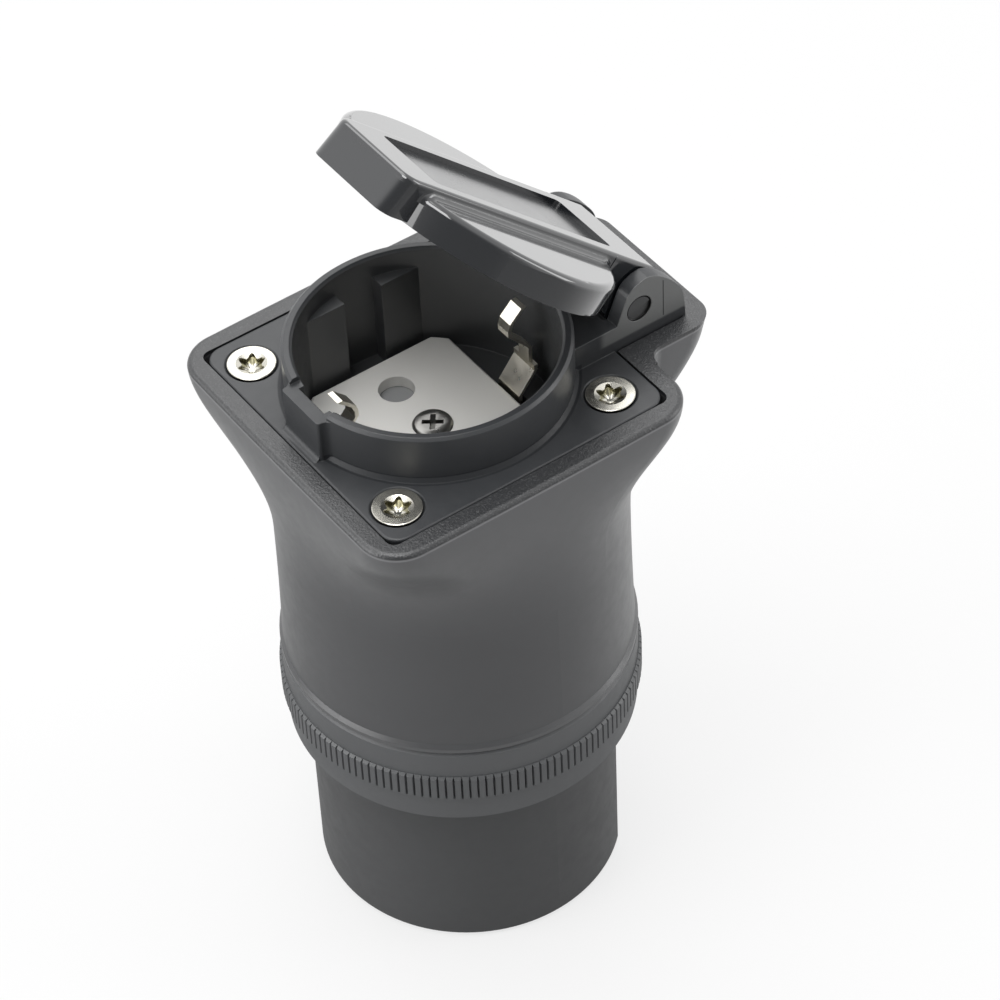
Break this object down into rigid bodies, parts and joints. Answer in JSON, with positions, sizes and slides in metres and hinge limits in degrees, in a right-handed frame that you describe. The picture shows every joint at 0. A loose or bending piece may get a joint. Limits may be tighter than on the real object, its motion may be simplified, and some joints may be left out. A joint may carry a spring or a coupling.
{
  "type": "ev discharge adapter",
  "caption": "Handheld adapter with a D-shaped vehicle plug nose, ribbed union ring and flared grey housing carrying a mains socket under a glossy hinged lid.",
  "frame": {"origin": "centre of the vehicle nose's lower face, on the nose's axis", "axes": "+Z along the nose's axis up to the socket, -Z the way the nose plugs in, +Y towards the lid's hinge, +X along the line of the two socket pin holes"},
  "size_m": [0.0574, 0.0693, 0.1498],
  "materials": {
    "housing_plastic": "satin, light charcoal",
    "ring_plastic": "satin charcoal",
    "nose_plastic": "satin charcoal",
    "rubber": "matte",
    "insulator_black": "matte",
    "spring_steel": "bright",
    "silvered_copper": "silver-plated",
    "resistor_body": "satin",
    "socket_plastic": "fine satin texture",
    "bright_steel": "bright zinc",
    "lid_plastic": "high gloss",
    "pin_plastic": "dark satin",
    "tile_grey": "satin light grey",
    "shutter_grey": "satin",
    "brass": "bright",
    "nickel_brass": "nickel-plated",
    "lead_brown": "satin",
    "lead_blue": "satin",
    "lead_green": "satin"
  },
  "bodies": {
    "adapter": {"housing_shell": "housing_plastic", "grip_ring": "ring_plastic", "plug_shell": "nose_plastic", "seal_ring": "rubber", "contact_carrier": "insulator_black", "retaining_ring": "spring_steel", "power_contacts": "silvered_copper", "signal_contacts": "silvered_copper", "coding_resistor": "resistor_body", "socket_plate": "socket_plastic", "flange_gasket": "rubber", "flange_screws": "bright_steel", "hinge_pin": "pin_plastic", "contact_cover": "tile_grey", "cover_screw": "bright_steel", "shutter_spring": "spring_steel", "socket_base": "insulator_black", "live_contacts": "brass", "earth_strap": "nickel_brass", "terminal_screws": "bright_steel", "line_lead": "lead_brown", "neutral_lead": "lead_blue", "earth_lead": "lead_green"},
    "lid": {"lid": "lid_plastic", "lid_seal": "rubber"},
    "shutter": {"shutter": "shutter_grey"}
  },
  "joints": [
    {"name": "lid_hinge", "type": "hinge", "parent": "adapter", "child": "lid", "pos_m": [0, 0.02724, 0.10802], "axis": [-1, 0, 0], "range_deg": [-43.2, 60]},
    {"name": "shutter_slide", "type": "slide", "parent": "adapter", "child": "shutter", "axis": [0, 1, 0], "range_m": [0, 0.006], "stiffness_N_per_m": 60, "springref_m": -0.004, "deforming": ["shutter_spring"]}
  ]
}
